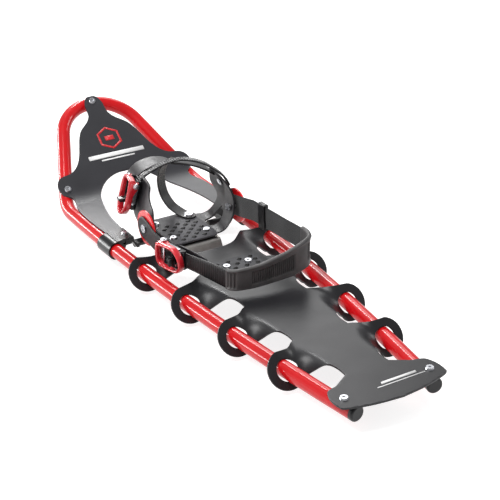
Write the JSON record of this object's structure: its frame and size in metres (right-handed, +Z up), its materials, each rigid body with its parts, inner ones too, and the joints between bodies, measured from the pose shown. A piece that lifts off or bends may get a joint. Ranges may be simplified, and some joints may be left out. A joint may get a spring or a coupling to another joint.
{
  "type": "snowshoe",
  "caption": "Long tube-framed snowshoe with a dark deck, an upturned nose, and a pivoting strap harness with ratchet buckles, a heel loop and steel crampons.",
  "frame": {"origin": "on the ground, under the middle of the whole shoe's length and width", "axes": "+X to the right tube, +Y to the upturned nose, +Z up"},
  "size_m": [0.2726, 0.8889, 0.1509],
  "materials": {
    "tube": "high gloss red lacquer",
    "cap": "satin black",
    "toe_deck": "semi-matte dark grey sheet",
    "rear_deck": "semi-matte dark grey sheet",
    "wrap": "satin black",
    "pivot_strap": "satin black",
    "rivet": "bright plated steel",
    "rod": "satin steel",
    "heel_pad": "matte dark grey",
    "toe_pad": "matte grey",
    "crampon": "brushed steel",
    "harness": "fine leathery grain",
    "ladder": "toothed, satin black",
    "disc": "glossy red",
    "lever": "glossy red",
    "release": "glossy black",
    "buckle_steel": "plated steel",
    "heel_cup": "matte dark grey with ribbed panels",
    "webbing": "black woven webbing",
    "slider": "satin black"
  },
  "bodies": {
    "frame": {"frame_tube": "tube", "end_cap_left": "cap", "end_cap_right": "cap", "toe_deck": "toe_deck", "arm_wrap_left": "wrap", "arm_wrap_right": "wrap", "rear_deck": "rear_deck", "toe_deck_rivets": "rivet", "tail_rivets": "rivet", "pivot_strap_left": "pivot_strap", "pivot_strap_right": "pivot_strap", "strap_rivets": "rivet", "pivot_rod": "rod", "heel_pad": "heel_pad", "heel_pad_rivets": "rivet", "heel_crampon": "crampon"},
    "binding": {"toe_pad": "toe_pad", "toe_pad_rivets": "rivet", "toe_crampon": "crampon", "wing_left": "harness", "wing_right": "harness", "pivot_disc_left": "disc", "pivot_disc_right": "disc", "disc_rivets": "rivet", "instep_ladder": "ladder", "instep_band": "harness", "toe_band": "harness", "tongue_strap": "harness", "tongue_rivet": "rivet", "instep_buckle_base": "buckle_steel", "instep_lever_pin": "rivet", "instep_release_pin": "rivet"},
    "heel_strap": {"heel_arm_left": "harness", "heel_ladder": "ladder", "heel_cup": "heel_cup", "heel_webbing": "webbing", "heel_buckle_base": "buckle_steel", "heel_lever_pin": "rivet", "heel_release_pin": "rivet"},
    "instep_lever": {"instep_lever": "lever"},
    "instep_release": {"instep_release": "release"},
    "heel_lever": {"heel_lever": "lever"},
    "heel_release": {"heel_release": "release"},
    "webbing_slider": {"webbing_slider": "slider"}
  },
  "joints": [
    {"name": "toe_pivot", "type": "hinge", "parent": "frame", "child": "binding", "pos_m": [0, 0.126, 0.025], "axis": [-1, 0, 0], "range_deg": [0, 39]},
    {"name": "heel_strap_pivot", "type": "hinge", "parent": "binding", "child": "heel_strap", "pos_m": [0, 0.083, 0.0685], "axis": [-1, 0, 0], "range_deg": [0, 60]},
    {"name": "instep_lever_pivot", "type": "hinge", "parent": "binding", "child": "instep_lever", "pos_m": [-0.05963, 0.1566, 0.1095], "axis": [0.1908, 0.9816, 0], "range_deg": [0, 56]},
    {"name": "instep_release_pivot", "type": "hinge", "parent": "binding", "child": "instep_release", "pos_m": [-0.06607, 0.15785, 0.08331], "axis": [0.1908, 0.9816, 0], "range_deg": [-18, 0], "stiffness_Nm_per_rad": 0.05},
    {"name": "heel_lever_pivot", "type": "hinge", "parent": "heel_strap", "child": "heel_lever", "pos_m": [-0.08356, 0.01677, 0.0635], "axis": [0, 0, -1], "range_deg": [0, 70]},
    {"name": "heel_release_pivot", "type": "hinge", "parent": "heel_strap", "child": "heel_release", "pos_m": [-0.07799, -0.00965, 0.0635], "axis": [0, 0, -1], "range_deg": [-18, 0], "stiffness_Nm_per_rad": 0.05},
    {"name": "webbing_slide", "type": "slide", "parent": "heel_strap", "child": "webbing_slider", "axis": [0.019, -0.9987, 0.0479], "range_m": [0, 0.03]}
  ]
}
